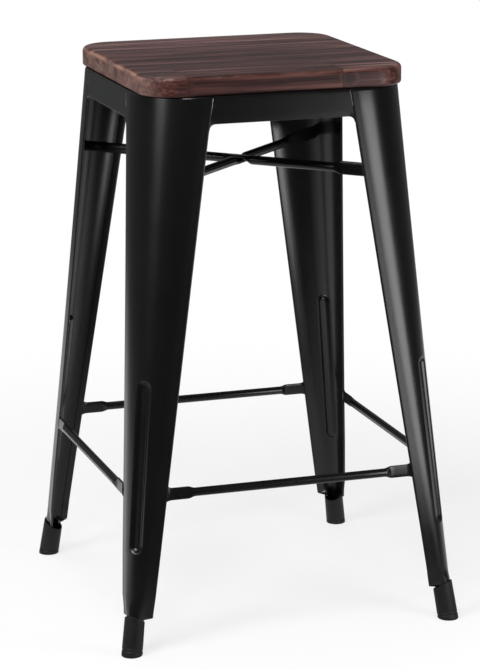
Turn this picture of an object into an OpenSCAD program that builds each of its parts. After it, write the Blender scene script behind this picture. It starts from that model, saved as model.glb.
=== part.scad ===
// Counter stool: glued hardwood seat on a folded sheet-steel frame, with an X brace under the
// seat, a square of footrest tubes and four rubber feet. Units are millimetres. The origin is
// on the floor at the centre of the stool, +Z is up and the front of the stool faces -Y.

/* [Seat] */
// Height of the top of the seat above the floor
total_h = 660; // [560:5:780]
// How far each edge of the square seat lies inside the leg faces
seat_inset = 3; // [0:0.5:8]
// Thickness of the seat board
seat_t = 23; // [20:1:32]
// Corner radius of the seat, seen from above
seat_corner_r = 42; // [30:1:55]
// Rounding of the top edge of the seat
seat_top_r = 6; // [3:0.5:8]
// Rounding of the bottom edge of the seat
seat_under_r = 3; // [1:0.5:5]
// Number of staves glued side by side
stave_n = 5; // [5]
// Distance of the left butt joint in the front stave from the middle
joint_left = 110; // [95:1:115]
// Distance of the right butt joint in the front stave from the middle
joint_right = 74; // [60:1:90]

/* [Frame] */
// Thickness of the sheet steel
sheet_t = 1.2; // [0.8:0.1:1.5]
// Width across the leg faces under the seat
top_span = 322; // [312:1:330]
// Width across the leg faces at the floor
foot_span = 408; // [380:1:440]
// How far the leg faces bow inwards half way down
leg_bow = 1; // [0:0.5:3]
// Clear width between two legs under the seat
top_gap = 163; // [150:1:175]
// Clear width between two legs at the floor
foot_gap = 354; // [340:1:365]
// Radius of the leg corner under the seat
top_corner_r = 71; // [60:1:72]
// Radius of the leg corner at the floor
foot_corner_r = 13; // [11:1:15]
// Outer radius of the rolled top rim
rim_r = 3; // [2:0.5:4]
// Width of the lip that the seat lies on
lip_w = 13; // [8:1:18]
// Width of the folded hem along each leg edge
hem_w = 8.5; // [6:0.5:12]
// Height of the apron panels
apron_h = 31.5; // [26:0.5:45]
// Fillet between an apron and a leg
apron_fillet_r = 8; // [4:1:12]
// Gap of the seam between an apron and a leg
seam_gap = 0.3; // [0.2:0.1:0.6]

/* [Groove] */
// Height of the lower end of the pressed groove
groove_low = 118; // [100:1:150]
// Height of the upper end of the pressed groove
groove_high = 318; // [250:1:420]
// Width of the groove across the leg corner
groove_w = 19; // [14:1:20]
// Depth of the groove
groove_depth = 4; // [2:0.5:5]
// Width of the sloping wall of the groove
groove_wall = 2.5; // [2:0.5:4]

/* [Bars] */
// Diameter of the footrest tubes
footrest_d = 10; // [8:0.5:12]
// Height of the flattened ends of the footrest tubes
footrest_end_h = 14.5; // [12:0.5:18]
// Length of the flattened ends of the footrest tubes
footrest_flat = 33; // [15:1:40]
// Height of the front footrest tube above the floor
front_rest_z = 186.5; // [130:0.5:260]
// Height of the back footrest tube above the floor
back_rest_z = 189.5; // [130:0.5:260]
// Height of the two side footrest tubes above the floor
side_rest_z = 185; // [130:0.5:260]
// Diameter of the two brace tubes
brace_d = 11; // [8:0.5:12]
// Height of the flattened ends of the brace tubes
brace_end_h = 16; // [12:0.5:18]
// Length of the flattened ends of the brace tubes
brace_flat = 84; // [40:1:100]
// Height of the crossing of the brace tubes above the floor
brace_z = 534; // [480:1:560]
// Thickness of all flattened tube ends
flat_t = 3; // [2.4:0.2:4]
// Length along which a brace tube is pressed flat where the two cross
crossing_len = 36; // [26:1:60]
// Pressed thickness of one brace tube at the crossing
crossing_t = 5; // [3.5:0.5:7]

/* [Feet] */
// Distance of a foot centre from the stool's centre planes at the floor
foot_offset = 196; // [190:0.5:200]
// Outer diameter of a rubber foot at the floor
foot_d = 24.6; // [22:0.2:27]
// Outer diameter of a rubber foot at its rim
foot_top_d = 23.6; // [22:0.2:24.4]
// Height of a rubber foot along its middle
foot_h = 41; // [36:1:50]
// How far a foot leans inward for each millimetre of its height, along each side
foot_lean = 0.135; // [0.08:0.005:0.16]
// Slant of the foot's rim, which is higher on the outer side
foot_slant = 31; // [0:1:35]
// Thickness of the rubber wall at the rim
foot_wall = 1.5; // [1.2:0.1:1.8]
// Thickness of the rubber under the leg
foot_floor = 8; // [5:1:12]
// Depth of the ring groove around the foot
foot_ring = 0.5; // [0.3:0.1:0.8]

/* [Fixings] */
// Thickness of the corner plates
plate_t = 2; // [1.5:0.5:3]
// Shank diameter of the seat screws
screw_d = 4.2; // [3.5:0.1:5]
// Head diameter of the seat screws
screw_head_d = 9; // [7:0.5:11]
// Head height of the seat screws
screw_head_h = 2.8; // [2:0.2:4]
// Depth of a seat screw in the wood
screw_bite = 14; // [10:1:16]
// Distance between the two screws of a corner plate
screw_pitch = 60; // [40:1:80]

/* [Hidden] */
$fn = 64;

wood = "saddlebrown";
steel = "dimgray";
rubber = "black";
zinc = "silver";

// Fit between pieces that slide into each other
slip = 0.3;
// A length longer than the stool, for cutting blocks
far = 2000;
frame_h = total_h - seat_t;
seat_w = top_span - 2 * seat_inset;
stave_w = seat_w / stave_n;

// ---- lines of a leg, all as functions of the height z ----
function lerp(a, b, t) = a + (b - a) * t;
function clamp(t) = min(max(t, 0), 1);
function smooth(t) = let (c = clamp(t)) c * c * (3 - 2 * c);
// Share of the way down from the frame's top to the floor
function drop(z) = (frame_h - z) / frame_h;
// Distance of a leg's outer face from the stool's centre plane
function face_at(z) = lerp(top_span, foot_span, drop(z)) / 2
    - 4 * leg_bow * drop(z) * (1 - drop(z));
// Distance of a leg's free edge from the stool's centre plane
function edge_at(z) = lerp(top_gap, foot_gap, drop(z)) / 2;
function corner_at(z) = lerp(top_corner_r, foot_corner_r, drop(z));
// Slope of a leg's outer face, and the centre of its foot and round tip
leg_lean = (foot_span - top_span) / 2 / frame_h;
function foot_at(z) = foot_offset - foot_lean * z;

// ---- the seat ----
seat_half = seat_w / 2;
// Section of the board from x = 0 to x = reach, with its outer edges rounded
module edge_profile(reach) {
    square([reach - max(seat_top_r, seat_under_r), seat_t]);
    translate([0, seat_under_r])
        square([reach, seat_t - seat_under_r - seat_top_r]);
    square([reach - seat_under_r, seat_t / 2]);
    translate([0, seat_t / 2])
        square([reach - seat_top_r, seat_t / 2]);
    translate([reach - seat_under_r, seat_under_r])
        circle(seat_under_r);
    translate([reach - seat_top_r, seat_t - seat_top_r])
        circle(seat_top_r);
}

module board_run() {
    // the board between its rounded corners, straight along Y
    run = seat_w - 2 * seat_corner_r;
    translate([0, run / 2, 0])
        rotate([90, 0, 0])
            linear_extrude(run)
                for (side = [0, 1])
                    mirror([side, 0])
                        edge_profile(seat_half);
}

module seat_blank() {
    corner = seat_half - seat_corner_r;
    board_run();
    rotate([0, 0, 90])
        board_run();
    for (sx = [-1, 1], sy = [-1, 1])
        translate([sx * corner, sy * corner, 0])
            rotate_extrude()
                edge_profile(seat_corner_r);
}

// A length of the board between two x places and two y places, drilled for the seat screws
module seat_piece(x0, x1, y0, y1) {
    color(wood)
        difference() {
            translate([0, 0, frame_h])
                intersection() {
                    seat_blank();
                    translate([x0, y0, 0])
                        cube([x1 - x0, y1 - y0, seat_t]);
                }
            at_screws()
                translate([0, 0, frame_h - 1])
                    cylinder(d = screw_d, h = screw_bite + 1 + slip);
        }
}

module full_stave(row) {
    seat_piece(-seat_half, seat_half, -seat_half + row * stave_w, -seat_half + (row + 1) * stave_w);
}

module front_stave(x0, x1) {
    seat_piece(x0, x1, -seat_half, -seat_half + stave_w);
}

module seat_stave_front_left() { front_stave(-seat_half, -joint_left); }
module seat_stave_front_middle() { front_stave(-joint_left, joint_right); }
module seat_stave_front_right() { front_stave(joint_right, seat_half); }
module seat_stave_2() { full_stave(1); }
module seat_stave_3() { full_stave(2); }
module seat_stave_4() { full_stave(3); }
module seat_stave_back() { full_stave(4); }

// ---- a leg: folded sheet with two wings, a rounded corner, hems, a pressed groove and a tip ----
// The tip that stands in the rubber foot: outer radius, wrap to each side, and its lowest level
foot_bore_r = foot_top_d / 2 - foot_wall;
tip_r = foot_bore_r - slip;
tip_wrap = 125;
foot_tilt = atan(foot_lean * sqrt(2));
tip_low = foot_floor + tip_r * sin(foot_tilt) + slip;
// The sheet is drawn in to the round tip just above the foot's slanted rim: over a long length
// at the corner and a short one at the free edges, which leaves a notch beside the foot.
rim_gap = 0.8;
corner_fade = 18;
edge_fade = 4.5;
swage_w = 16;
swage_low = swage_end(1);
notch_high = swage_low + edge_fade;
swage_high = swage_end(0) + corner_fade;
hem_step = 0.4;
hem_top = frame_h - apron_h - apron_fillet_r;

function arc_at(z) = corner_at(z) * PI / 4;
function half_at(z) = arc_at(z) + face_at(z) - corner_at(z) - edge_at(z);

// Point and outward direction of the outer line at length s >= 0 from the corner's middle
function wing_point(s, z) =
    let (r = corner_at(z), c = face_at(z) - r, a = 45 + s / r * 180 / PI)
    s < arc_at(z)
        ? [c + r * cos(a), c + r * sin(a), cos(a), sin(a)]
        : [c - (s - arc_at(z)), c + r, 0, 1];
function line_point(s, z) =
    let (p = wing_point(abs(s), z))
    s < 0 ? [p[1], p[0], p[3], p[2]] : p;
function tip_point(share, z) =
    let (a = 45 + share * tip_wrap)
    [foot_at(z) + tip_r * cos(a), foot_at(z) + tip_r * sin(a), cos(a), sin(a)];

function groove_at(s, z) =
    let (
        half = groove_w / 2,
        beyond = max(groove_low + half - z, 0, z - groove_high + half),
        away = norm([s, beyond])
    )
    groove_depth * smooth((half - away) / groove_wall);
// Height where the sheet has reached the tip, at a share of the half section
function swage_end(share) = foot_h + tan(foot_slant) * tip_r * cos(share * tip_wrap) + rim_gap;
// How far the wings curl in above the foot
curl_depth = 2.4;
curl_reach = 12;
curl_high = foot_h + 36;
curl_low = foot_h + 4;
function curl_at(s, z) =
    curl_depth * smooth((abs(s) - arc_at(z) / 2) / curl_reach)
    * smooth((curl_high - z) / (curl_high - curl_low));
// Share of the way from the folded sheet to the round tip
function tip_at(s, z) =
    smooth(1 + (swage_end(s / half_at(z)) - z) / lerp(corner_fade, edge_fade, smooth(abs(s) / swage_w)));

// Lengths along the outer line of the section's points, as signed shares of the half section
function stations(z) =
    let (
        half = half_at(z),
        g = groove_w / 2,
        hem = half - hem_w,
        side = [
            g * 0.35, g - groove_wall, g - groove_wall / 2, g,
            lerp(g, hem, 0.25), lerp(g, hem, 0.5), lerp(g, hem, 0.75),
            hem - hem_step, hem, lerp(hem, half, 0.6), half - hem_step, half
        ]
    )
    concat([for (i = [len(side) - 1:-1:0]) -side[i]], [0], side);

// One section of the sheet: its outer points, then its inner points back to the start.
// "back" is how far the outer side lies inside the leg's line and "inner" the inner side;
// z_out and z_in are their heights. The hem doubles the sheet along both free edges.
function leg_ring(z, back, inner, z_out, z_in) =
    let (
        s = stations(z),
        half = half_at(z),
        hem_on = z < hem_top ? 1 - tip_at(half, z) : 0,
        outline = [
            for (v = s)
                let (
                    p = line_point(v, z),
                    q = tip_point(v / half, z),
                    tip = tip_at(v, z),
                    push = -groove_at(v, z) - curl_at(v, z),
                    m = [for (i = [0:3]) lerp(p[i] + (i < 2 ? push * p[i + 2] : 0), q[i], tip)],
                    n = norm([m[2], m[3]])
                )
                [m[0], m[1], m[2] / n, m[3] / n]
        ],
        last = len(s) - 1,
        round_at = [for (v = s) half - abs(v) < hem_step / 2 ? 1 : 0],
        folded = [for (v = s) half - abs(v) < hem_w + hem_step / 2 ? 1 : 0]
    )
    concat(
        [for (i = [0:last])
            let (b = back + round_at[i] * hem_step * hem_on)
            [outline[i][0] - b * outline[i][2], outline[i][1] - b * outline[i][3], z_out]],
        [for (i = [last:-1:0])
            let (b = inner + (folded[i] * sheet_t - round_at[i] * hem_step) * hem_on)
            [outline[i][0] - b * outline[i][2], outline[i][1] - b * outline[i][3], z_in]]
    );

groove_steps = [0, 0.12, 0.24, 0.4, 0.65, 1];
function groove_end(z, way) = [for (t = groove_steps) z + way * t * groove_w / 2];
leg_levels = concat(
    [tip_low, lerp(tip_low, swage_low, 0.5)],
    [for (i = [0:5]) lerp(swage_low, notch_high, i / 5)],
    [for (i = [1:7]) lerp(notch_high, swage_high, i / 7)],
    groove_end(groove_low, 1),
    [for (i = [1:3]) lerp(groove_low, groove_high, i / 4)],
    [for (i = [len(groove_steps) - 1:-1:0]) groove_end(groove_high, -1)[i]],
    [for (i = [1:3]) lerp(groove_high, hem_top, i / 4)],
    [hem_top - hem_step, hem_top, frame_h - rim_r]
);
rim_steps = [30, 60, 90];
leg_rings = concat(
    [for (z = leg_levels) leg_ring(z, 0, sheet_t, z, z)],
    [for (a = rim_steps)
        leg_ring(
            frame_h - rim_r,
            rim_r - rim_r * cos(a), rim_r - (rim_r - sheet_t) * cos(a),
            frame_h - rim_r + rim_r * sin(a), frame_h - rim_r + (rim_r - sheet_t) * sin(a)
        )],
    [leg_ring(frame_h - rim_r, lip_w, lip_w, frame_h, frame_h - sheet_t)]
);

// Skin over a stack of closed rings of equal length; "fold" closes the ends strip by strip,
// for rings that run out along one side and back along the other
module skin(rings, fold) {
    n = len(rings[0]);
    m = len(rings);
    points = [for (ring = rings, p = ring) p];
    sides = [
        for (k = [0:m - 2], i = [0:n - 1])
            let (j = (i + 1) % n)
            each [
                [k * n + i, (k + 1) * n + i, k * n + j],
                [k * n + j, (k + 1) * n + i, (k + 1) * n + j]
            ]
    ];
    top = (m - 1) * n;
    ends = fold
        ? [for (i = [0:n / 2 - 2])
            each [
                [i, i + 1, n - 1 - i],
                [i + 1, n - 2 - i, n - 1 - i],
                [top + n - 1 - i, top + i + 1, top + i],
                [top + n - 1 - i, top + n - 2 - i, top + i + 1]
            ]]
        : [[for (i = [0:n - 1]) i], [for (i = [n - 1:-1:0]) top + i]];
    polyhedron(points, concat(sides, ends));
}

module leg(sx, sy) {
    color(steel)
        mirror([sx < 0 ? 1 : 0, 0, 0])
            mirror([0, sy < 0 ? 1 : 0, 0])
                skin(leg_rings, true);
}

module leg_front_left() { leg(-1, -1); }
module leg_front_right() { leg(1, -1); }
module leg_back_left() { leg(-1, 1); }
module leg_back_right() { leg(1, 1); }

// ---- the aprons between the legs ----
apron_low = frame_h - apron_h;
// Lean of a leg's free edge, and the place of the fillet's centre beside it
edge_lean = atan((foot_gap - top_gap) / 2 / frame_h);
fillet_run = apron_fillet_r * tan((90 - edge_lean) / 2);
function apron_end(z) = edge_at(z) - seam_gap;

// Outline of a panel seen from the front, x across and y up
module apron_outline() {
    polygon([
        [-apron_end(apron_low), apron_low], [apron_end(apron_low), apron_low],
        [apron_end(frame_h), frame_h], [-apron_end(frame_h), frame_h]
    ]);
    for (side = [0, 1])
        mirror([side, 0])
            difference() {
                corner = [apron_end(apron_low), apron_low];
                centre = [corner[0] - fillet_run, apron_low - apron_fillet_r];
                down = [sin(edge_lean), -cos(edge_lean)] * fillet_run;
                polygon([corner, corner - [fillet_run, 0], centre, corner + down]);
                translate(centre)
                    circle(apron_fillet_r);
            }
}

// Section of a panel: the face with a rolled rim and the lip that the seat lies on
module apron_section() {
    face_top = frame_h - rim_r;
    foot = apron_low - apron_fillet_r;
    polygon([
        [face_at(foot), foot], [face_at(face_top), face_top],
        [face_at(face_top) - sheet_t, face_top], [face_at(foot) - sheet_t, foot]
    ]);
    translate([face_at(face_top) - rim_r, face_top])
        intersection() {
            difference() {
                circle(rim_r);
                circle(rim_r - sheet_t);
            }
            square(rim_r);
        }
    translate([face_at(face_top) - lip_w, frame_h - sheet_t])
        square([lip_w - rim_r, sheet_t]);
}

module apron(turn) {
    color(steel)
        rotate([0, 0, turn])
            intersection() {
                translate([-top_span, 0, 0])
                    rotate([90, 0, 90])
                        mirror([1, 0])
                            linear_extrude(2 * top_span)
                                apron_section();
                rotate([90, 0, 0])
                    linear_extrude(far)
                        apron_outline();
            }
}

module apron_front() { apron(0); }
module apron_right() { apron(90); }
module apron_back() { apron(180); }
module apron_left() { apron(270); }

// ---- corner plates under the seat and their screws ----
plate_r = top_corner_r - rim_r - 2;
plate_centre = face_at(frame_h - rim_r) - top_corner_r;
// Distance of the plate's straight edge and of its screws from the centre of its arc
plate_cut = 12;
screw_out = 34;

module at_corners() {
    for (turn = [0:90:270])
        rotate([0, 0, turn])
            children();
}

module at_plate_screws() {
    translate([plate_centre, plate_centre, 0])
        rotate([0, 0, 45])
            for (side = [-1, 1])
                translate([screw_out, side * screw_pitch / 2, 0])
                    children();
}

module at_screws() {
    at_corners()
        at_plate_screws()
            children();
}

module corner_plate(turn) {
    color(steel)
        rotate([0, 0, turn])
            difference() {
                translate([plate_centre, plate_centre, frame_h - sheet_t - plate_t])
                    rotate([0, 0, 45])
                        intersection() {
                            cylinder(r = plate_r, h = plate_t);
                            translate([plate_cut, -plate_r, 0])
                                cube([plate_r, 2 * plate_r, plate_t]);
                        }
                at_plate_screws()
                    translate([0, 0, frame_h - far / 2])
                        cylinder(d = screw_d + slip, h = far);
            }
}

module corner_plate_back_right() { corner_plate(0); }
module corner_plate_back_left() { corner_plate(90); }
module corner_plate_front_left() { corner_plate(180); }
module corner_plate_front_right() { corner_plate(270); }

module seat_screws() {
    color(zinc)
        at_screws()
            translate([0, 0, frame_h - sheet_t - plate_t - screw_head_h]) {
                cylinder(d = screw_head_d, h = screw_head_h);
                cylinder(d = screw_d, h = screw_head_h + plate_t + sheet_t + screw_bite);
            }
}

// ---- tubes with flattened ends ----
tube_sides = 24;
blend_len = 9;
// Section of a tube at length x: half width, half height, squareness from 1 (round) to 0, rise
function tube_ring(x, wide, high, round_p, rise) =
    [for (i = [0:tube_sides - 1])
        let (a = i * 360 / tube_sides, c = cos(a), s = sin(a))
        [x, wide * sign(c) * pow(abs(c), round_p), rise + high * sign(s) * pow(abs(s), round_p)]];
flat_round = 0.45;
// Section between a flattened end, at t = 0, and the round tube of diameter d, at t = 1
function blend_ring(x, t, d, end_h) =
    tube_ring(
        x, lerp(flat_t, d, smooth(t)) / 2, lerp(end_h, d, smooth(t)) / 2,
        lerp(flat_round, 1, smooth(t)), 0
    );
blend_steps = [0, 0.25, 0.5, 0.75, 1];

// From an end at -reach, cut off at a slant, to the start of the round tube
function end_rings(reach, slant, flat, d, end_h) = concat(
    [[for (p = blend_ring(-reach, 0, d, end_h)) [p[0] + slant * p[2], p[1], p[2]]]],
    [for (t = blend_steps) blend_ring(-reach + flat - (1 - t) * blend_len, t, d, end_h)]
);
function mirrored(rings) = [
    for (k = [len(rings) - 1:-1:0])
        [for (p = rings[k]) [-p[0], p[1], p[2]]]
];

// A footrest tube at height z butts against the hems of two legs, in line with the hem's middle
module footrest(turn, z) {
    reach = edge_at(z) - slip;
    slant = edge_at(z) - edge_at(z + 1);
    half = end_rings(reach, slant, footrest_flat, footrest_d, footrest_end_h);
    color(steel)
        rotate([0, 0, turn])
            translate([0, -face_at(z) + sheet_t, z])
                rotate([-atan(leg_lean), 0, 0])
                    skin(concat(half, mirrored(half)), false);
}

module footrest_front() { footrest(0, front_rest_z); }
module footrest_right() { footrest(90, side_rest_z); }
module footrest_back() { footrest(180, back_rest_z); }
module footrest_left() { footrest(270, side_rest_z); }

// A brace tube runs between the inner sides of two opposite leg corners
function corner_reach(z) = (face_at(z) - corner_at(z)) * sqrt(2) + corner_at(z) - sheet_t;
brace_reach = corner_reach(brace_z) - slip;
brace_slant = corner_reach(brace_z) - corner_reach(brace_z + 1);
crossing_w = brace_d * 1.25;
crossing_round = 0.7;
function crossing_ring(x, t, side) =
    tube_ring(
        x, lerp(brace_d, crossing_w, smooth(t)) / 2, lerp(brace_d, crossing_t, smooth(t)) / 2,
        lerp(1, crossing_round, smooth(t)), side * smooth(t) * crossing_t / 2
    );
function brace_rings(side) =
    let (half = concat(
        end_rings(brace_reach, brace_slant, brace_flat, brace_d, brace_end_h),
        [for (t = [0, 0.25, 0.5, 0.75, 1])
            crossing_ring(-crossing_len / 2 + t * crossing_len / 4, t, side)]
    ))
    concat(half, mirrored(half));

module brace_tube(turn, side) {
    color(steel)
        rotate([0, 0, turn])
            translate([0, 0, brace_z])
                skin(brace_rings(side), false);
}

module brace_tube_upper() { brace_tube(-45, 1); }
module brace_tube_lower() { brace_tube(45, -1); }

// ---- rubber feet ----
// Section of the foot around its own leaning axis, from below the floor to its rim
module foot_section() {
    r = foot_d / 2;
    top = foot_h + foot_d;
    taper = (foot_d - foot_top_d) / 2 / foot_h;
    ring_z = foot_floor * 0.9;
    difference() {
        polygon([[0, -r], [r + taper * r, -r], [r - taper * top, top], [0, top]]);
        translate([-1, foot_floor])
            square([foot_bore_r + 1, top]);
        translate([r - taper * ring_z, ring_z])
            circle(foot_ring);
    }
}

module foot(sx, sy) {
    color(rubber)
        difference() {
            translate([sx * foot_offset, sy * foot_offset, 0])
                rotate(a = foot_tilt, v = [sy, -sx, 0])
                    rotate_extrude()
                        foot_section();
            translate([-far / 2, -far / 2, -far])
                cube(far);
            translate([sx * foot_at(foot_h), sy * foot_at(foot_h), foot_h])
                rotate(a = foot_slant, v = [sy, -sx, 0])
                    translate([-far / 2, -far / 2, 0])
                        cube(far);
        }
}

module foot_front_left() { foot(-1, -1); }
module foot_front_right() { foot(1, -1); }
module foot_back_left() { foot(-1, 1); }
module foot_back_right() { foot(1, 1); }

seat_stave_front_left();
seat_stave_front_middle();
seat_stave_front_right();
seat_stave_2();
seat_stave_3();
seat_stave_4();
seat_stave_back();
leg_front_left();
leg_front_right();
leg_back_left();
leg_back_right();
apron_front();
apron_back();
apron_left();
apron_right();
corner_plate_front_left();
corner_plate_front_right();
corner_plate_back_left();
corner_plate_back_right();
seat_screws();
brace_tube_upper();
brace_tube_lower();
footrest_front();
footrest_back();
footrest_left();
footrest_right();
foot_front_left();
foot_front_right();
foot_back_left();
foot_back_right();
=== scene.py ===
import math

import bmesh
import bpy
import numpy as np
from mathutils import Matrix, Vector


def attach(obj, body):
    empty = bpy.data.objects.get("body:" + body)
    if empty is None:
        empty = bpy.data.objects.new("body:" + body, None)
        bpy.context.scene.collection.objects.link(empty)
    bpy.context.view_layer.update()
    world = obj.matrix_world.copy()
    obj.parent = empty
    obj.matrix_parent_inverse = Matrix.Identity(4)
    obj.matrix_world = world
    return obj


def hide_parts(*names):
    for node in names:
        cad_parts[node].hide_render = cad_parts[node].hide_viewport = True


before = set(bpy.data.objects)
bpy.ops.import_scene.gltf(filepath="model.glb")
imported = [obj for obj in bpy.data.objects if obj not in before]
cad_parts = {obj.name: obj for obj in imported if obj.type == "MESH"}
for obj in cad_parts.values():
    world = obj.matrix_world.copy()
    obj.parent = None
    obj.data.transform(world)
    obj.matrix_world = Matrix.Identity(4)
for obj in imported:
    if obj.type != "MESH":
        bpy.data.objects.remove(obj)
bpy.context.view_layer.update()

MM = 0.001
scene = bpy.context.scene
scene.view_settings.view_transform = "Standard"

# ---------------------------------------------------------------- sizes, mm
# These are the CAD part's own, but for those that are marked as the look's.
TOTAL_H = 660.0
SEAT_W = 316.0
SEAT_T = 23.0
SEAT_R = 42.0
SEAT_TOP_R = 6.0
SEAT_UNDER_R = 3.0
STAVES = 5
JOINT_LEFT = 110.0
JOINT_RIGHT = 74.0
SHEET = 1.2
TOP_SPAN = 322.0
FOOT_SPAN = 408.0
BOW = 1.0
TOP_GAP = 163.0
FOOT_GAP = 354.0
TOP_CORNER = 71.0
FOOT_CORNER = 13.0
RIM = 3.0
LIP = 13.0
HEM = 8.5
APRON_H = 31.5
FILLET = 8.0
GROOVE_LOW = 118.0
GROOVE_HIGH = 318.0
GROOVE_W = 19.0
GROOVE_DEPTH = 4.0
GROOVE_WALL = 6.0  # the look's: softer than the pressed wall in the CAD
FLAT_T = 3.0
FOOTREST_R = 5.0
FOOTREST_END_H = 14.5
FOOTREST_FLAT = 33.0
FRONT_REST_Z = 186.5
BACK_REST_Z = 189.5
SIDE_REST_Z = 185.0
BRACE_R = 5.5
BRACE_END_H = 16.0
BRACE_FLAT = 84.0
BRACE_Z = 534.0
CROSSING = 36.0
CROSSING_T = 5.0
FOOT_OFF = 196.0
FOOT_R = 12.3
FOOT_TOP_R = 11.8
FOOT_H = 41.0
FOOT_LEAN = 0.135
FOOT_SLANT = math.radians(31)
FOOT_FLOOR = 8.0
TIP_R = 10.0
TIP_WRAP = math.radians(125)
FRAME_H = TOTAL_H - SEAT_T
STAVE = SEAT_W / STAVES
RIM_GAP = 0.8
CORNER_FADE = 18.0
EDGE_FADE = 4.5
SWAGE_W = 16.0
HEM_TOP = FRAME_H - APRON_H - FILLET
CURL_DEPTH = 2.4
CURL_REACH = 12.0
CURL_LOW = FOOT_H + 4.0
CURL_HIGH = FOOT_H + 36.0
BLEND = 9.0
ROOT2 = math.sqrt(2)

# the look's own sizes
APRON_ROLL = 1.8  # radius of the folded lower edge of an apron
APRON_HEM = 8.0  # how far that fold runs up inside
FLAT_ROUND = 0.5  # how square a flattened tube end is: 1 is an ellipse
TUBE_SIDES = 40
TUBE_GAP = 0.1
WELD_L = 5.0
WELD_THICK = 0.7
WELD_HIGH = 1.6
BRACE_OVAL = 0.8
SOLE_EDGE_R = 0.9
CUP_LIP_R = 0.55
CUP_WALL = 1.4
# height and depth of the points that make the two moulded rings at the bottom of a foot
FOOT_RINGS = ((4.6, 0.0), (4.9, 0.12), (5.3, 0.55), (5.9, 0.75), (6.6, 0.55), (7.0, 0.12),
              (7.3, 0.0), (8.3, 0.0), (8.5, 0.1), (8.8, 0.35), (9.2, 0.35), (9.5, 0.1), (9.8, 0.0))
FOOT_PLAIN_FROM = 12.0
FOOT_SIDES = 64
SEAM_L = 16.5
SEAM_R = 0.30
SEAM_SWAY = 0.35
SEAM_SINK_FRONT = 0.12
SEAM_SINK = 0.20
# the marks on the front board, in metres
BAND_X = -0.1075
KNOT_X, KNOT_Z = 0.0815, 0.6490
SIDES = {"front_left": (-1, -1), "front_right": (1, -1), "back_left": (-1, 1), "back_right": (1, 1)}


def lerp(a, b, t):
    return a + (b - a) * t


def smooth(t):
    t = np.clip(t, 0.0, 1.0)
    return t * t * (3 - 2 * t)


def drop(z):
    return (FRAME_H - z) / FRAME_H


def face_at(z):
    return lerp(TOP_SPAN, FOOT_SPAN, drop(z)) / 2 - 4 * BOW * drop(z) * (1 - drop(z))


def edge_at(z):
    return lerp(TOP_GAP, FOOT_GAP, drop(z)) / 2


def corner_at(z):
    return lerp(TOP_CORNER, FOOT_CORNER, drop(z))


def foot_at(z):
    return FOOT_OFF - FOOT_LEAN * z


# ---------------------------------------------------------------- meshes
def piece(name, verts, faces, material, replaces, sharp):
    """A mesh piece of the object from points in millimetres, smooth shaded with crisp edges."""
    mesh = bpy.data.meshes.new(name)
    mesh.from_pydata([tuple(float(c) * MM for c in v) for v in verts], [], faces)
    mesh.validate()
    bm = bmesh.new()
    bm.from_mesh(mesh)
    bmesh.ops.recalc_face_normals(bm, faces=bm.faces)
    bm.to_mesh(mesh)
    bm.free()
    dress(name, mesh, material, replaces, sharp)


def dress(name, mesh, material, replaces, sharp):
    """Puts a mesh in the scene as a piece of the object, in place of the CAD nodes it replaces."""
    mesh.polygons.foreach_set("use_smooth", [True] * len(mesh.polygons))
    mesh.set_sharp_from_angle(angle=math.radians(sharp))
    mesh.materials.append(material)
    mesh.update()
    ob = bpy.data.objects.new(name, mesh)
    scene.collection.objects.link(ob)
    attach(ob, "root")
    if replaces:
        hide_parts(*replaces)


def ring_faces(rings, size, closed_ends=True):
    """Quads between successive rings of equal size, with the two ends closed by n-gons."""
    faces = []
    for k in range(rings - 1):
        for i in range(size):
            j = (i + 1) % size
            faces.append((k * size + i, k * size + j, (k + 1) * size + j, (k + 1) * size + i))
    if closed_ends:
        faces.append(tuple(range(size))[::-1])
        faces.append(tuple((rings - 1) * size + i for i in range(size)))
    return faces


def strip_ends(rings, size):
    """Closes the ends of a stack of rings that run out along one side and back along the other."""
    faces = []
    top = (rings - 1) * size
    for i in range(size // 2 - 1):
        faces.append((i, i + 1, size - 2 - i, size - 1 - i))
        faces.append((top + size - 1 - i, top + size - 2 - i, top + i + 1, top + i))
    return faces


# ---------------------------------------------------------------- materials
def new_material(name):
    """A material with one Principled shader and nothing else."""
    mat = bpy.data.materials.new(name)
    mat.use_nodes = True
    tree = mat.node_tree
    tree.nodes.clear()
    out = tree.nodes.new("ShaderNodeOutputMaterial")
    shader = tree.nodes.new("ShaderNodeBsdfPrincipled")
    tree.links.new(shader.outputs[0], out.inputs[0])
    return mat, tree, shader


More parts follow.
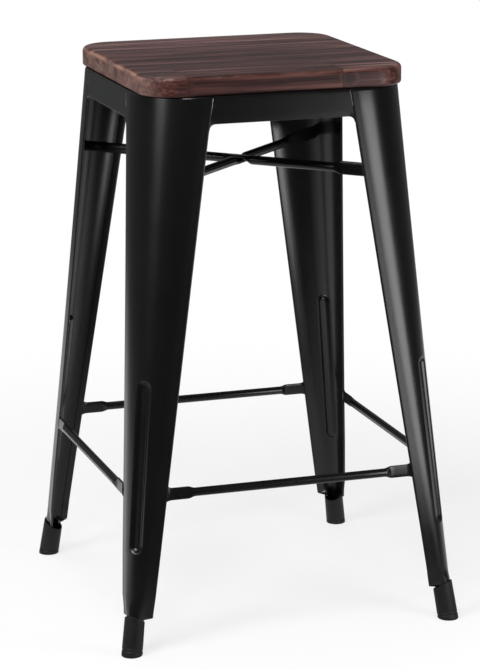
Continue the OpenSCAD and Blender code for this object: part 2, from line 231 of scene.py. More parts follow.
class Nodes:
    """Short ways to add and link shader nodes in one tree."""

    def __init__(self, tree):
        self.tree = tree
        self.coord = tree.nodes.new("ShaderNodeTexCoord").outputs["Object"]

    def link(self, source, socket):
        if isinstance(source, (int, float, tuple)):
            socket.default_value = source
        else:
            self.tree.links.new(source, socket)

    def math(self, op, a, b=0.0, c=None, clamp=False):
        n = self.tree.nodes.new("ShaderNodeMath")
        n.operation = op
        n.use_clamp = clamp
        self.link(a, n.inputs[0])
        self.link(b, n.inputs[1])
        if c is not None:
            self.link(c, n.inputs[2])
        return n.outputs[0]

    def scaled(self, scale, offset=(0, 0, 0)):
        n = self.tree.nodes.new("ShaderNodeMapping")
        n.inputs["Scale"].default_value = scale
        n.inputs["Location"].default_value = offset
        self.link(self.coord, n.inputs["Vector"])
        return n.outputs[0]

    def noise(self, vector, scale, detail=2.0, rough=0.5, w=None, distortion=0.0):
        n = self.tree.nodes.new("ShaderNodeTexNoise")
        if w is not None:
            n.noise_dimensions = "4D"
            self.link(w, n.inputs["W"])
        self.link(vector, n.inputs["Vector"])
        n.inputs["Scale"].default_value = scale
        n.inputs["Detail"].default_value = detail
        n.inputs["Roughness"].default_value = rough
        n.inputs["Distortion"].default_value = distortion
        return n.outputs["Fac"]

    def remap(self, value, a, b, c, d):
        """Runs smoothly from c where the value is a to d where it is b, and is level beyond."""
        n = self.tree.nodes.new("ShaderNodeMapRange")
        n.interpolation_type = "SMOOTHSTEP"
        self.link(value, n.inputs["Value"])
        for key, v in zip(("From Min", "From Max", "To Min", "To Max"), (a, b, c, d)):
            n.inputs[key].default_value = v
        return n.outputs["Result"]

    def mix(self, fac, a, b, blend="MIX"):
        n = self.tree.nodes.new("ShaderNodeMix")
        n.data_type = "RGBA"
        n.blend_type = blend
        self.link(fac, n.inputs["Factor"])
        for value, key in ((a, "A"), (b, "B")):
            socket = [s for s in n.inputs if s.name == key and s.type == "RGBA"][0]
            if isinstance(value, tuple):
                value = value + (1.0,)
            self.link(value, socket)
        return [s for s in n.outputs if s.type == "RGBA"][0]

    def ramp(self, fac, stops):
        n = self.tree.nodes.new("ShaderNodeValToRGB")
        self.link(fac, n.inputs[0])
        while len(n.color_ramp.elements) < len(stops):
            n.color_ramp.elements.new(0.5)
        for e, (pos, col) in zip(n.color_ramp.elements, stops):
            e.position = pos
            e.color = col + (1.0,)
        return n.outputs[0]

    def bump(self, height, strength, distance, normal=None):
        n = self.tree.nodes.new("ShaderNodeBump")
        n.inputs["Strength"].default_value = strength
        n.inputs["Distance"].default_value = distance
        self.link(height, n.inputs["Height"])
        if normal is not None:
            self.link(normal, n.inputs["Normal"])
        return n.outputs[0]

    def axes(self, vector=None):
        n = self.tree.nodes.new("ShaderNodeSeparateXYZ")
        self.link(vector or self.coord, n.inputs[0])
        return n.outputs

    def join(self, x, y, z):
        n = self.tree.nodes.new("ShaderNodeCombineXYZ")
        for v, s in zip((x, y, z), n.inputs):
            self.link(v, s)
        return n.outputs[0]

    def edges(self, radius, low, high):
        """Mask of worn outer edges: where the rounded normal leaves the face's own."""
        bevel = self.tree.nodes.new("ShaderNodeBevel")
        bevel.samples = 8
        bevel.inputs["Radius"].default_value = radius
        geo = self.tree.nodes.new("ShaderNodeNewGeometry")
        dot = self.tree.nodes.new("ShaderNodeVectorMath")
        dot.operation = "DOT_PRODUCT"
        self.link(bevel.outputs[0], dot.inputs[0])
        self.link(geo.outputs["Normal"], dot.inputs[1])
        return self.remap(dot.outputs["Value"], high, low, 0.0, 1.0)


def coat_material(name, colour=(0.0033, 0.0033, 0.0035), rough=0.245, grain=0.014):
    """Satin black powder coat: fine orange peel, faint cloudiness, edges a little lighter."""
    mat, tree, shader = new_material(name)
    n = Nodes(tree)
    peel = n.noise(n.coord, 1500.0, 2.0, 0.5)
    cloud = n.noise(n.coord, 16.0, 3.0, 0.6)
    dust = n.noise(n.coord, 140.0, 4.0, 0.7)
    wear = n.math("MULTIPLY", n.edges(0.0012, 0.80, 0.97), n.remap(dust, 0.45, 0.70, 0.0, 0.25))
    light = tuple(c * 2.6 for c in colour)
    base = n.mix(n.remap(cloud, 0.35, 0.70, 0.0, 0.35), colour, tuple(c * 1.5 for c in colour))
    n.link(n.mix(wear, base, light), shader.inputs["Base Color"])
    r = n.math("ADD", n.remap(cloud, 0.3, 0.7, rough - 0.012, rough + 0.015),
               n.remap(dust, 0.3, 0.7, -0.006, 0.006))
    n.link(r, shader.inputs["Roughness"])
    shader.inputs["Specular IOR Level"].default_value = 0.5
    n.link(n.bump(peel, grain, 0.0004), shader.inputs["Normal"])
    return mat


def rubber_material(name):
    """Matt black rubber: a patchy surface, its edges scuffed grey."""
    mat, tree, shader = new_material(name)
    n = Nodes(tree)
    fine = n.noise(n.coord, 2600.0, 3.0, 0.6)
    patch = n.noise(n.coord, 45.0, 4.0, 0.6)
    scuff = n.noise(n.scaled((1, 1, 0.25)), 260.0, 4.0, 0.7)
    base = n.mix(n.remap(patch, 0.35, 0.7, 0.0, 1.0),
                 (0.0055, 0.0053, 0.0055), (0.0085, 0.0083, 0.0085))
    worn = n.math("MULTIPLY", n.edges(0.001, 0.75, 0.97), n.remap(scuff, 0.4, 0.7, 0.1, 0.8))
    n.link(n.mix(worn, base, (0.022, 0.0215, 0.0215)), shader.inputs["Base Color"])
    n.link(n.remap(patch, 0.3, 0.7, 0.44, 0.58), shader.inputs["Roughness"])
    shader.inputs["Specular IOR Level"].default_value = 0.3
    n.link(n.bump(fine, 0.12, 0.0003), shader.inputs["Normal"])
    return mat


def metal_material(name, colour, rough):
    """Bare or plated metal with fine turning marks and darker stains."""
    mat, tree, shader = new_material(name)
    n = Nodes(tree)
    turn = n.noise(n.scaled((1, 1, 6)), 700.0, 3.0, 0.6)
    stain = n.noise(n.coord, 300.0, 3.0, 0.6)
    n.link(n.mix(n.remap(stain, 0.45, 0.75, 0.0, 0.6), colour, tuple(c * 0.5 for c in colour)),
           shader.inputs["Base Color"])
    shader.inputs["Metallic"].default_value = 1.0
    n.link(n.remap(turn, 0.3, 0.7, rough - 0.06, rough + 0.08), shader.inputs["Roughness"])
    n.link(n.bump(turn, 0.15, 0.0002), shader.inputs["Normal"])
    return mat


def wood_material(name):
    """Dark walnut stain on boards whose grain runs along X; each board has its own figure."""
    mat, tree, shader = new_material(name)
    n = Nodes(tree)
    board = tree.nodes.new("ShaderNodeAttribute")
    board.attribute_name = "board"
    w = n.math("MULTIPLY", board.outputs["Fac"], 7.31)
    x, y, z = n.axes()
    # growth rings round a wandering axis beside the board
    wander = n.noise(n.scaled((2.2, 9.0, 9.0)), 1.0, 2.0, 0.5, w=w)
    wy = n.math("ADD", y, n.math("MULTIPLY", n.math("SUBTRACT", wander, 0.5), 0.060))
    lift = n.noise(n.scaled((1.6, 5.0, 5.0), (3, 1, 2)), 1.0, 2.0, 0.5, w=w)
    pith_z = n.math("ADD", 0.575, n.math("MULTIPLY", lift, 0.050))
    pith_y = n.math("MULTIPLY", n.math("SUBTRACT", n.noise(n.join(w, 0.3, 0.7), 1.0), 0.5), 0.5)
    dy = n.math("SUBTRACT", wy, pith_y)
    dz = n.math("SUBTRACT", z, pith_z)
    ring = n.math("SQRT", n.math("ADD", n.math("MULTIPLY", dy, dy), n.math("MULTIPLY", dz, dz)))
    phase = n.math("FRACT", n.math("MULTIPLY", ring, 210.0))
    late = n.math("MULTIPLY", n.remap(phase, 0.45, 0.92, 0.0, 1.0),
                  n.remap(phase, 0.93, 1.0, 1.0, 0.0))
    fibre = n.noise(n.scaled((9.0, 420.0, 420.0)), 1.0, 4.0, 0.65, w=w)
    streak = n.noise(n.scaled((2.6, 62.0, 62.0), (5, 0, 0)), 1.0, 4.0, 0.7, w=w)
    fine = n.noise(n.scaled((4.0, 150.0, 150.0), (2, 0, 1)), 1.0, 3.0, 0.6, w=w)
    pores = n.noise(n.scaled((28.0, 1500.0, 1500.0)), 1.0, 2.0, 0.5, w=w)
    pore = n.remap(pores, 0.60, 0.72, 0.0, 1.0)

    tone = n.math("ADD", n.math("MULTIPLY", streak, 0.45), n.math("MULTIPLY", fine, 0.55))
    colour = n.ramp(tone, [(0.40, (0.0150, 0.0060, 0.0056)), (0.47, (0.0400, 0.0180, 0.0165)),
                           (0.53, (0.0800, 0.0400, 0.0360)), (0.60, (0.1700, 0.0900, 0.0800))])
    colour = n.mix(n.math("MULTIPLY", late, 0.45), colour, (0.026, 0.0125, 0.0110))
    colour = n.mix(n.remap(fibre, 0.50, 0.75, 0.0, 0.50), colour, (0.120, 0.0640, 0.0530))
    colour = n.mix(n.math("MULTIPLY", pore, 0.55), colour, (0.014, 0.0075, 0.0070))
    # boards differ a little in depth of stain; the back boards and the right end are also painted
    # lighter, a painted sheen
    stain = tree.nodes.new("ShaderNodeAttribute")
    stain.attribute_name = "stain"
    depth = n.math("SUBTRACT", stain.outputs["Fac"], n.remap(x, 0.04, 0.15, 0.0, 0.35), clamp=True)
    colour = n.mix(depth, n.mix(1.0, colour, (1.80, 1.90, 2.00), "MULTIPLY"),
                   n.mix(1.0, colour, (0.66, 0.57, 0.58), "MULTIPLY"))
    # the board's edges are redder than its top, and the end grain drinks the stain unevenly; the
    # end faces are also painted much lighter, a painted highlight of the lamp on the left
    geo = tree.nodes.new("ShaderNodeNewGeometry")
    nx, _, nz = n.axes(geo.outputs["True Normal"])
    cut = n.remap(n.math("ABSOLUTE", nz), 0.45, 0.90, 1.0, 0.0)
    colour = n.mix(cut, colour, n.mix(1.0, colour, (1.08, 0.83, 0.75), "MULTIPLY"))
    end = n.remap(n.math("ABSOLUTE", nx), 0.55, 0.92, 0.0, 1.0)
    blot = n.noise(n.scaled((30.0, 46.0, 90.0)), 1.0, 4.0, 0.6, w=w, distortion=0.6)
    endgrain_painted_light = n.ramp(blot, [(0.34, (0.070, 0.0370, 0.0330)), (0.48, (0.150, 0.0880, 0.0760)),
                             (0.64, (0.270, 0.1550, 0.1250))])
    endgrain_painted_light = n.mix(n.math("MULTIPLY", late, 0.5), endgrain_painted_light, (0.060, 0.0330, 0.0290))
    colour = n.mix(n.math("MULTIPLY", end, 0.85), colour, endgrain_painted_light)
    # the stain is rubbed thin along the rounded arrises, and the lighter arris is also a painted
    # highlight, strongest at the left end and the near-left corner
    sides = n.math("MAXIMUM", n.math("ABSOLUTE", x), n.math("ABSOLUTE", y))
    arris = n.math("MULTIPLY", n.remap(z, 0.6535, 0.6575, 0.0, 1.0),
                   n.remap(z, 0.6578, 0.6598, 1.0, 0.0))
    arris = n.math("MULTIPLY", arris, n.remap(sides, 0.1505, 0.1545, 0.0, 1.0))
    arris = n.math("MULTIPLY", arris, n.remap(x, -0.130, -0.095, 1.0, 0.25))
    patchy = n.noise(n.scaled((22.0, 22.0, 60.0)), 1.0, 4.0, 0.65)
    rub_and_highlight = n.math("MULTIPLY", arris, n.remap(patchy, 0.42, 0.62, 0.0, 0.85))
    colour = n.mix(rub_and_highlight, colour, (0.310, 0.165, 0.1200))
    # the front board's edge: a red band by its left butt joint and a knot by its right one
    front = n.remap(y, -0.1285, -0.1475, 0.0, 1.0)
    jitter = n.math("MULTIPLY", n.math("SUBTRACT", n.noise(n.scaled((60, 60, 90)), 1.0, 3.0), 0.5),
                    0.006)
    xj = n.math("ADD", x, jitter)
    from_band = n.math("ABSOLUTE", n.math("SUBTRACT", xj, BAND_X))
    band = n.math("SUBTRACT", 1.0, n.remap(from_band, 0.0012, 0.0068, 0.0, 1.0))
    band = n.math("MULTIPLY", band, front)
    colour = n.mix(n.math("MULTIPLY", band, 0.85), colour, (0.062, 0.0195, 0.0145))
    kx = n.math("SUBTRACT", xj, KNOT_X)
    kz = n.math("MULTIPLY", n.math("SUBTRACT", z, KNOT_Z), 1.15)
    knot_r = n.math("SQRT", n.math("ADD", n.math("MULTIPLY", kx, kx), n.math("MULTIPLY", kz, kz)))
    knot = n.math("MULTIPLY", n.remap(knot_r, 0.0035, 0.0085, 1.0, 0.0), front)
    colour = n.mix(n.math("MULTIPLY", knot, 0.8), colour, (0.021, 0.0125, 0.0135))
    from_halo = n.math("ABSOLUTE", n.math("SUBTRACT", knot_r, 0.0105))
    halo = n.math("MULTIPLY", n.remap(from_halo, 0.0, 0.0030, 1.0, 0.0), front)
    colour = n.mix(n.math("MULTIPLY", halo, 0.35), colour, (0.130, 0.0600, 0.0430))
    # fine dark glue lines between the boards, and darker ones at the front board's butt joints
    stave_y = n.math("DIVIDE", n.math("ADD", y, SEAT_W * MM / 2), STAVE * MM)
    line = n.math("ABSOLUTE", n.math("SUBTRACT", n.math("FRACT", n.math("ADD", stave_y, 0.5)), 0.5))
    glue = n.remap(line, 0.0028, 0.0100, 1.0, 0.0)
    butt = n.math("MINIMUM", n.math("ABSOLUTE", n.math("ADD", x, JOINT_LEFT * MM)),
                  n.math("ABSOLUTE", n.math("SUBTRACT", x, JOINT_RIGHT * MM)))
    first_line = STAVE - SEAT_W / 2
    front_board = n.remap(y, (first_line + 0.3) * MM, (first_line - 0.3) * MM, 0.0, 1.0)
    butt_glue = n.math("MULTIPLY", n.remap(butt, 0.00022, 0.0007, 1.0, 0.0), front_board)
    glue = n.math("MAXIMUM", n.math("MULTIPLY", glue, 0.35), n.math("MULTIPLY", butt_glue, 0.8))
    colour = n.mix(glue, colour, (0.012, 0.0065, 0.0060))
    n.link(colour, shader.inputs["Base Color"])

    rough = n.math("ADD", n.remap(fibre, 0.3, 0.7, 0.34, 0.46), n.math("MULTIPLY", end, 0.10))
    n.link(n.math("ADD", rough, n.math("MULTIPLY", pore, 0.15)), shader.inputs["Roughness"])
    shader.inputs["Specular IOR Level"].default_value = 0.22
    relief = n.math("SUBTRACT", n.math("MULTIPLY", fibre, 0.5), n.math("MULTIPLY", pore, 0.45))
    relief = n.math("SUBTRACT", relief, n.math("MULTIPLY", glue, 0.6))
    coarse = n.bump(n.math("ADD", streak, n.math("MULTIPLY", late, -0.25)), 0.35, 0.0006)
    n.link(n.bump(relief, 0.55, 0.00022, coarse), shader.inputs["Normal"])
    return mat


coat = coat_material("powder_coat")
coat_small = coat_material("powder_coat_small", rough=0.24, grain=0.02)
seam_metal = metal_material("bare_seam", (0.36, 0.355, 0.35), 0.36)
rubber = rubber_material("foot_rubber_matt")
zinc = metal_material("zinc_plate", (0.66, 0.66, 0.64), 0.30)
wood = wood_material("walnut_stain")

# ---------------------------------------------------------------- legs
def half_at(z):
    return corner_at(z) * math.pi / 4 + face_at(z) - corner_at(z) - edge_at(z)


def outer_line(s, z):
    """Points and outward directions at lengths s along the section's outer line at height z."""
    r = corner_at(z)
    arc = r * math.pi / 4
    c = face_at(z) - r
    a = math.pi / 4 + np.minimum(np.abs(s), arc) / r
    past = np.maximum(np.abs(s) - arc, 0)
    x = c + r * np.cos(a) - past
    y = c + r * np.sin(a)
    dx, dy = np.cos(a), np.sin(a)
    flip = s < 0
    return (np.where(flip, y, x), np.where(flip, x, y),
            np.where(flip, dy, dx), np.where(flip, dx, dy))


def swage_end(share):
    """Height at which the sheet has become the round tip, at a share of the way round it."""
    return FOOT_H + math.tan(FOOT_SLANT) * TIP_R * np.cos(share * TIP_WRAP) + RIM_GAP


def tip_share(s, z):
    """How far the section has turned from the folded corner into the round tip, 0 to 1."""
    fade = lerp(CORNER_FADE, EDGE_FADE, smooth(np.abs(s) / SWAGE_W))
    return smooth(1 + (swage_end(s / half_at(z)) - z) / fade)


def groove_depth(s, z):
    """Depth of the pressed groove that runs down the leg's corner."""
    half = GROOVE_W / 2
    beyond = max(GROOVE_LOW + half - z, 0, z - GROOVE_HIGH + half)
    away = np.hypot(s, beyond)
    return GROOVE_DEPTH * smooth((half - away) / GROOVE_WALL)


def curl(s, z):
    """How far the wings curl in above the foot."""
    aside = smooth((np.abs(s) - corner_at(z) * math.pi / 8) / CURL_REACH)
    return CURL_DEPTH * aside * smooth((CURL_HIGH - z) / (CURL_HIGH - CURL_LOW))


def leg_section(z, back, inner, z_out, z_in, hem_on):
    """One closed ring of the sheet: outer side out to both free edges, then the inner side back."""
    half = half_at(z)
    g = GROOVE_W / 2
    turn = np.linspace(0, math.pi / 2, 5)
    edge_r = lerp(SHEET / 2, SHEET, hem_on)
    groove = np.concatenate([[0, g * 0.15, g * 0.3], np.linspace(g - GROOVE_WALL, g, 7)])
    flat = np.linspace(g, half - HEM - 0.5, 13)[1:]
    step = np.array([half - HEM, half - HEM + 0.35, half - HEM * 0.66, half - HEM * 0.33])
    side = np.concatenate([groove, flat, step, half - edge_r + edge_r * np.sin(turn)])
    depth_out = np.concatenate([np.zeros(len(side) - 5), edge_r - edge_r * np.cos(turn)])
    depth_in = np.concatenate([
        np.full(len(groove) + len(flat), SHEET),
        np.array([SHEET, SHEET + (edge_r * 2 - SHEET) * 0.85, edge_r * 2, edge_r * 2]),
        edge_r + edge_r * np.cos(turn),
    ])
    s = np.concatenate([-side[::-1], side[1:]])
    d_out = np.concatenate([depth_out[::-1], depth_out[1:]])
    d_in = np.concatenate([depth_in[::-1], depth_in[1:]])
    x, y, dx, dy = outer_line(s, z)
    push = -groove_depth(s, z) - curl(s, z)
    tip = tip_share(s, z)
    a = math.pi / 4 + s / half * TIP_WRAP
    tx, ty = foot_at(z) + TIP_R * np.cos(a), foot_at(z) + TIP_R * np.sin(a)
    px = lerp(x + push * dx, tx, tip)
    py = lerp(y + push * dy, ty, tip)
    nx = lerp(dx, np.cos(a), tip)
    ny = lerp(dy, np.sin(a), tip)
    n = np.hypot(nx, ny)
    nx, ny = nx / n, ny / n
    o = np.stack([px - (back + d_out) * nx, py - (back + d_out) * ny, np.full(len(s), z_out)], 1)
    k = inner - SHEET
    i = np.stack([px - (k + d_in) * nx, py - (k + d_in) * ny, np.full(len(s), z_in)], 1)
    return np.concatenate([o, i[::-1]])


def leg_rings():
    """The rings of one leg, from the tip in the foot up to the lip under the seat."""
    low = FOOT_FLOOR + 3.0
    tip_low = float(swage_end(1.0))
    levels = [low, 20.0, 30.0]
    levels += list(np.linspace(tip_low - 1, tip_low + EDGE_FADE + 1, 15))
    levels += list(np.linspace(tip_low + EDGE_FADE + 2, float(swage_end(0.0)) + CORNER_FADE, 14))
    g = GROOVE_W / 2
    levels += list(GROOVE_LOW + g * (1 - np.cos(np.linspace(0, math.pi / 2, 15))))
    levels += list(np.linspace(GROOVE_LOW + g + 12, GROOVE_HIGH - g - 12, 12))
    levels += list((GROOVE_HIGH - g * (1 - np.cos(np.linspace(0, math.pi / 2, 15))))[::-1])
    levels += list(np.linspace(GROOVE_HIGH + 15, HEM_TOP - 3, 16))
    levels += [HEM_TOP - 1.5, HEM_TOP]
    rings = [leg_section(z, 0, SHEET, z, z, float(low + 5 <= z < HEM_TOP - 0.1)) for z in levels]
    top = FRAME_H - RIM
    for z in (HEM_TOP + 1, lerp(HEM_TOP, top, 0.5), top):
        rings.append(leg_section(z, 0, SHEET, z, z, 0.0))
    for a in np.linspace(0, math.pi / 2, 7)[1:]:
        rings.append(leg_section(
            top, RIM - RIM * math.cos(a), RIM - (RIM - SHEET) * math.cos(a),
            top + RIM * math.sin(a), top + (RIM - SHEET) * math.sin(a), 0.0))
    rings.append(leg_section(top, LIP, LIP, FRAME_H, FRAME_H - SHEET, 0.0))
    return rings


LEG = leg_rings()


def make_leg(name, sx, sy):
    """The folded sheet of one leg, mirrored into its corner."""
    pts = np.concatenate(LEG) * np.array([sx, sy, 1])
    size = len(LEG[0])
    faces = ring_faces(len(LEG), size, closed_ends=False) + strip_ends(len(LEG), size)
    piece(name + "_shell", pts, faces, coat, (name,), 42)


for side, (sx, sy) in SIDES.items():
    make_leg("leg_" + side, sx, sy)


# ---------------------------------------------------------------- aprons
def turned(points, degrees):
    """Points turned about the stool's upright axis."""
    a = math.radians(degrees)
    p = np.array(points, float)
    return np.stack([p[:, 0] * math.cos(a) - p[:, 1] * math.sin(a),
                     p[:, 0] * math.sin(a) + p[:, 1] * math.cos(a), p[:, 2]], 1)


def make_apron(name, degrees):
    """A panel between two legs: lip and rolled rim above, filleted and folded edge below."""
    low = FRAME_H - APRON_H
    lean = math.atan((FOOT_GAP - TOP_GAP) / 2 / FRAME_H)
    run = FILLET * math.tan((math.pi / 2 - lean) / 2)
    corner = np.array([edge_at(low), low])
    centre = np.array([corner[0] - run, low - FILLET])
    # right half of the bottom line, from the middle out round the fillet to the leg's edge
    flat = [(x, low) for x in np.linspace(0, centre[0], 14)]
    angles = np.linspace(math.pi / 2, lean, 12)[1:]
    arc = [tuple(centre + FILLET * np.array([math.cos(a), math.sin(a)])) for a in angles]
    right = np.array(flat + arc)
    bottom = np.concatenate([right[:0:-1] * [-1, 1], right])
    share = np.clip(bottom[:, 0] / bottom[-1, 0], -1, 1)
    rings = []
    turn = np.linspace(0, math.pi, 9)
    top_z = FRAME_H - RIM
    for (bx, bz), u in zip(bottom, share):
        tx = u * edge_at(FRAME_H)
        ring = []

        def at(dist, depth):
            """A point up the panel from its bottom line at a depth behind the face."""
            t = dist / (top_z - bz)
            z = bz + (top_z - bz) * t
            ring.append((lerp(bx, tx, t), -(face_at(z) - depth), z))

        length = top_z - bz
        ring.append((tx, -(face_at(top_z) - LIP), FRAME_H))
        for a in np.linspace(math.pi / 2, 0, 7):
            ring.append((tx, -(face_at(top_z) - RIM + RIM * math.cos(a)),
                         top_z + RIM * math.sin(a)))
        for f in (0.75, 0.5, 0.25):
            at(APRON_ROLL + (length - APRON_ROLL) * f, 0)
        for a in turn:
            at(APRON_ROLL - APRON_ROLL * math.sin(a), APRON_ROLL - APRON_ROLL * math.cos(a))
        at(APRON_HEM / 2, 2 * SHEET)
        at(APRON_HEM - 0.4, 2 * SHEET)
        at(APRON_HEM, SHEET * 1.9)
        at(APRON_HEM + 0.2, SHEET)
        at(lerp(APRON_HEM + 0.2, length, 0.5), SHEET)
        for a in np.linspace(0, math.pi / 2, 5):
            ring.append((tx, -(face_at(top_z) - RIM + (RIM - SHEET) * math.cos(a)),
                         top_z + (RIM - SHEET) * math.sin(a)))
        ring.append((tx, -(face_at(top_z) - LIP), FRAME_H - SHEET))
        rings.append(ring)
    pts = turned(np.concatenate([np.array(r) for r in rings]), degrees)
    faces = ring_faces(len(rings), len(rings[0]))
    piece(name + "_panel", pts, faces, coat, (name,), 42)


for k, side in enumerate(("front", "right", "back", "left")):
    make_apron("apron_" + side, 90 * k)


# ---------------------------------------------------------------- tubes
def oval(x, wide, high, round_p, rise=0.0):
    """A section across a tube along X; round_p 1 is an ellipse and less is squarer."""
    a = np.linspace(0, 2 * math.pi, TUBE_SIDES, endpoint=False)
    c, s = np.cos(a), np.sin(a)
    return np.stack([np.full(TUBE_SIDES, x), wide * np.sign(c) * np.abs(c) ** round_p,
                     rise + high * np.sign(s) * np.abs(s) ** round_p], 1)


def end_sections(reach, slant, flat, radius, end_h, weld=True):
    """Sections from a tube's slanted end to its round part; a weld swells the first millimetres."""
    rings = []
    for e in ([0, 0.6, 1.3, 2.2, 3.4, WELD_L] if weld else [0, WELD_L]):
        swell = (1 - e / WELD_L) ** 2 if weld else 0.0
        rings.append(oval(-reach + e, FLAT_T / 2 + WELD_THICK * swell,
                          end_h / 2 + WELD_HIGH * swell, lerp(FLAT_ROUND, 0.75, swell)))
    for e in np.linspace(6.5, flat - BLEND, 5):
        rings.append(oval(-reach + e, FLAT_T / 2, end_h / 2, FLAT_ROUND))
    for t in np.linspace(0, 1, 11)[1:]:
        k = float(smooth(t))
        rings.append(oval(-reach + flat - BLEND + t * BLEND, lerp(FLAT_T, 2 * radius, k) / 2,
                          lerp(end_h, 2 * radius, k) / 2, lerp(FLAT_ROUND, 1, k)))
    for r in rings:
        r[:, 0] += slant * r[:, 2] * np.clip(1 - (r[:, 0] + reach) / 12, 0, 1)
    return rings


def mirrored(rings):
    """The other half of a tube, in the order that carries on from the first half."""
    return [r * [-1, 1, 1] for r in rings[::-1]]


def make_footrest(name, degrees, height):
    """A footrest tube between two legs, tilted with the face of the frame."""
    reach = edge_at(height) - TUBE_GAP
    slant = (FOOT_GAP - TOP_GAP) / 2 / FRAME_H
    rings = end_sections(reach, slant, FOOTREST_FLAT, FOOTREST_R, FOOTREST_END_H)
    for x in np.linspace(-reach + FOOTREST_FLAT + 30, 0, 4):
        rings.append(oval(x, FOOTREST_R, FOOTREST_R, 1.0))
    rings += mirrored(rings)[1:]
    tilt = -math.atan((FOOT_SPAN - TOP_SPAN) / 2 / FRAME_H)
    pts = np.concatenate(rings)
    y, z = pts[:, 1].copy(), pts[:, 2].copy()
    pts[:, 1] = y * math.cos(tilt) - z * math.sin(tilt) - face_at(height) + SHEET
    pts[:, 2] = y * math.sin(tilt) + z * math.cos(tilt) + height
    piece(name + "_bar", turned(pts, degrees), ring_faces(len(rings), TUBE_SIDES),
          coat_small, (name,), 50)


make_footrest("footrest_front", 0, FRONT_REST_Z)
make_footrest("footrest_right", 90, SIDE_REST_Z)
make_footrest("footrest_back", 180, BACK_REST_Z)
make_footrest("footrest_left", 270, SIDE_REST_Z)


def corner_reach(z):
    """Distance from the stool's axis to the inside of a leg's corner."""
    return (face_at(z) - corner_at(z)) * ROOT2 + corner_at(z) - SHEET


def brace_half(pressed, side):
    """Half a brace tube; its end is pressed flat, or only a little out of round."""
    reach = corner_reach(BRACE_Z) - TUBE_GAP
    slant = corner_reach(BRACE_Z) - corner_reach(BRACE_Z + 1)
    if pressed:
        half = end_sections(reach, slant, BRACE_FLAT, BRACE_R, BRACE_END_H, weld=False)
    else:
        half = [oval(-reach + e, BRACE_R - BRACE_OVAL, BRACE_R + BRACE_OVAL, 1.0)
                for e in (0, 30, BRACE_FLAT)]
    for x in np.linspace(-reach + BRACE_FLAT + 10, -CROSSING / 2 - 4, 5):
        half.append(oval(x, BRACE_R, BRACE_R, 1.0))
    for t in np.linspace(0, 1, 9):
        k = float(smooth(t))
        half.append(oval(-CROSSING / 2 + t * CROSSING / 4, lerp(2 * BRACE_R, 2.5 * BRACE_R, k) / 2,
                         lerp(2 * BRACE_R, CROSSING_T, k) / 2, lerp(1, 0.7, k),
                         side * k * CROSSING_T / 2))
    return half


def make_brace(name, degrees, side, pressed):
    """One tube of the X; side 1 lies above the other where they cross, -1 below."""
    rings = brace_half(pressed, side) + mirrored(brace_half(True, side))
    pts = np.concatenate(rings)
    pts[:, 2] += BRACE_Z
    piece(name + "_rod", turned(pts, degrees), ring_faces(len(rings), TUBE_SIDES),
          coat_small, (name,), 50)


make_brace("brace_tube_upper", -45, 1, False)
make_brace("brace_tube_lower", 45, -1, True)


# ---------------------------------------------------------------- rubber feet
def make_foot(name, sx, sy):
    """A rubber cup that leans with the leg: flat sole, two moulded rings, slanted rim, bore."""
    tilt = math.atan(FOOT_LEAN * ROOT2)
    k = math.tan(FOOT_SLANT)
    taper = (FOOT_R - FOOT_TOP_R) / FOOT_H
    a = np.linspace(0, 2 * math.pi, FOOT_SIDES, endpoint=False)
    ca = np.cos(a)

    def cut_floor(r):
        """Lengths along the axis at which the floor cuts the radius r."""
        return -r * ca * math.tan(tilt)

    def cut_rim(r):
        """Lengths along the axis at which the slanted rim cuts the radius r."""
        out = FOOT_LEAN * FOOT_H * ROOT2 + r * ca * math.cos(tilt)
        return (FOOT_H + k * out - r * ca * math.sin(tilt)) / (math.cos(tilt) + k * math.sin(tilt))

    def level(h, r):
        """Points on the foot at lengths h along its axis and radius r, both per angle."""
        out = FOOT_OFF * ROOT2 - h * math.sin(tilt) + r * ca * math.cos(tilt)
        z = h * math.cos(tilt) + r * ca * math.sin(tilt)
        across = r * np.sin(a)
        x = (out - across) / ROOT2
        y = (out + across) / ROOT2
        return np.stack([x, y, np.maximum(z, 0)], 1)

    rings = []
    sole = cut_floor(FOOT_R)
    for r in (2.0, 7.0, FOOT_R - SOLE_EDGE_R):
        rings.append(level(cut_floor(r), np.full(FOOT_SIDES, r)))
    for t in np.linspace(0, math.pi / 2, 5)[1:]:
        r = FOOT_R - SOLE_EDGE_R + SOLE_EDGE_R * math.sin(t)
        rings.append(level(sole + SOLE_EDGE_R * (1 - math.cos(t)), np.full(FOOT_SIDES, r)))
    for h, dip in FOOT_RINGS:
        r = FOOT_R - taper * h - dip
        rings.append(level(np.full(FOOT_SIDES, h), np.full(FOOT_SIDES, r)))
    for t in (0.0, 0.2, 0.4, 0.6, 0.8):
        h = lerp(FOOT_PLAIN_FROM, cut_rim(FOOT_TOP_R) - 1.2, t)
        rings.append(level(h, FOOT_R - taper * h))
    rim = cut_rim(FOOT_TOP_R)
    wide = FOOT_R - taper * rim
    lip = CUP_LIP_R
    for t in np.linspace(0, math.pi, 9):
        rings.append(level(rim - lip + lip * math.sin(t), wide - lip + lip * math.cos(t)))
    for d in (1.2, 6.0, 18.0):
        rings.append(level(rim - d, np.minimum(wide - CUP_WALL, TIP_R + 0.25)))
    pts = np.concatenate(rings) * np.array([sx, sy, 1])
    faces = ring_faces(len(rings), FOOT_SIDES)
    piece(name + "_cup", pts, faces, rubber, (name,), 40)


for side, (sx, sy) in SIDES.items():
    make_foot("foot_" + side, sx, sy)


